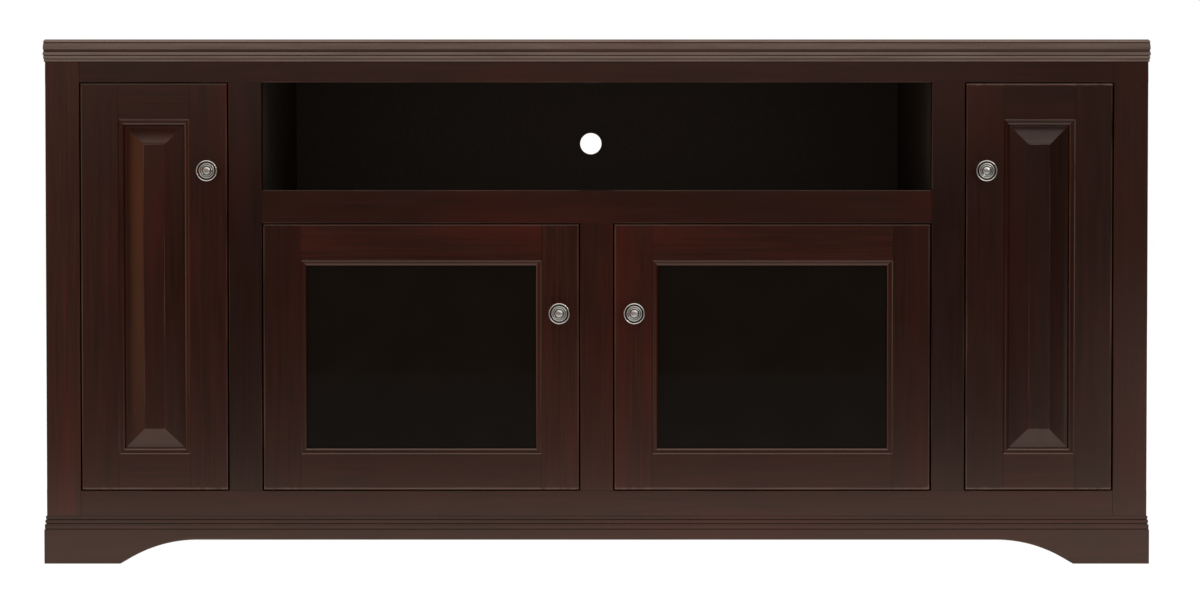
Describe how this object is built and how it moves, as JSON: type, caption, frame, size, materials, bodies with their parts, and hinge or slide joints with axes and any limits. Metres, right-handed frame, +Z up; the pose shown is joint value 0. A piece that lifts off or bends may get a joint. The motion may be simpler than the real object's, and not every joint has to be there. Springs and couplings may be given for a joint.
{
  "type": "tv console",
  "caption": "Low wooden media cabinet with an open bay over framed glass doors, raised-panel side doors, a reeded top edge and arched bracket feet.",
  "frame": {"origin": "on the floor under the middle of the outer box, door knobs included", "axes": "+X to the right along the width, +Y from the front to the back, +Z up; the doors face -Y"},
  "size_m": [1.675, 0.499, 0.794],
  "materials": {
    "espresso_wood": "semi-gloss espresso lacquer on hardwood",
    "interior_board": "dark stained satin",
    "smoked_glass": "dark tinted, polished",
    "pewter": "antique pewter, darkened in the grooves",
    "steel": "zinc plated"
  },
  "bodies": {
    "cabinet": {"top_board": "espresso_wood", "top_moulding_front": "espresso_wood", "top_moulding_left": "espresso_wood", "top_moulding_right": "espresso_wood", "base_front": "espresso_wood", "base_left": "espresso_wood", "base_right": "espresso_wood", "base_back": "espresso_wood", "left_side_panel": "espresso_wood", "right_side_panel": "espresso_wood", "bottom_panel": "interior_board", "left_divider": "interior_board", "right_divider": "interior_board", "media_shelf": "interior_board", "centre_partition": "interior_board", "left_side_shelf": "interior_board", "right_side_shelf": "interior_board", "left_centre_shelf": "interior_board", "right_centre_shelf": "interior_board", "back_panel": "interior_board", "face_rail_top": "espresso_wood", "face_rail_middle": "espresso_wood", "face_rail_bottom": "espresso_wood", "face_mullion": "espresso_wood", "face_stile_left": "espresso_wood", "face_stile_right": "espresso_wood", "face_stile_inner_left": "espresso_wood", "face_stile_inner_right": "espresso_wood", "left_side_door_pin_top": "steel", "left_side_door_pin_bottom": "steel", "right_side_door_pin_top": "steel", "right_side_door_pin_bottom": "steel", "left_glass_door_pin_top": "steel", "left_glass_door_pin_bottom": "steel", "right_glass_door_pin_top": "steel", "right_glass_door_pin_bottom": "steel"},
    "left_side_door": {"left_side_door_hinge_stile": "espresso_wood", "left_side_door_latch_stile": "espresso_wood", "left_side_door_top_rail": "espresso_wood", "left_side_door_bottom_rail": "espresso_wood", "left_side_door_panel": "espresso_wood", "left_side_door_knob": "pewter"},
    "right_side_door": {"right_side_door_hinge_stile": "espresso_wood", "right_side_door_latch_stile": "espresso_wood", "right_side_door_top_rail": "espresso_wood", "right_side_door_bottom_rail": "espresso_wood", "right_side_door_panel": "espresso_wood", "right_side_door_knob": "pewter"},
    "left_glass_door": {"left_glass_door_hinge_stile": "espresso_wood", "left_glass_door_latch_stile": "espresso_wood", "left_glass_door_top_rail": "espresso_wood", "left_glass_door_bottom_rail": "espresso_wood", "left_glass_door_glass": "smoked_glass", "left_glass_door_knob": "pewter"},
    "right_glass_door": {"right_glass_door_hinge_stile": "espresso_wood", "right_glass_door_latch_stile": "espresso_wood", "right_glass_door_top_rail": "espresso_wood", "right_glass_door_bottom_rail": "espresso_wood", "right_glass_door_glass": "smoked_glass", "right_glass_door_knob": "pewter"}
  },
  "joints": [
    {"name": "left_side_door_swing", "type": "hinge", "parent": "cabinet", "child": "left_side_door", "pos_m": [-0.766, -0.2135, 0.42], "axis": [0, 0, -1], "range_deg": [0, 105]},
    {"name": "right_side_door_swing", "type": "hinge", "parent": "cabinet", "child": "right_side_door", "pos_m": [0.766, -0.2135, 0.42], "axis": [0, 0, 1], "range_deg": [0, 105]},
    {"name": "left_glass_door_swing", "type": "hinge", "parent": "cabinet", "child": "left_glass_door", "pos_m": [-0.4905, -0.2135, 0.3135], "axis": [0, 0, -1], "range_deg": [0, 105]},
    {"name": "right_glass_door_swing", "type": "hinge", "parent": "cabinet", "child": "right_glass_door", "pos_m": [0.4905, -0.2135, 0.3135], "axis": [0, 0, 1], "range_deg": [0, 105]}
  ]
}
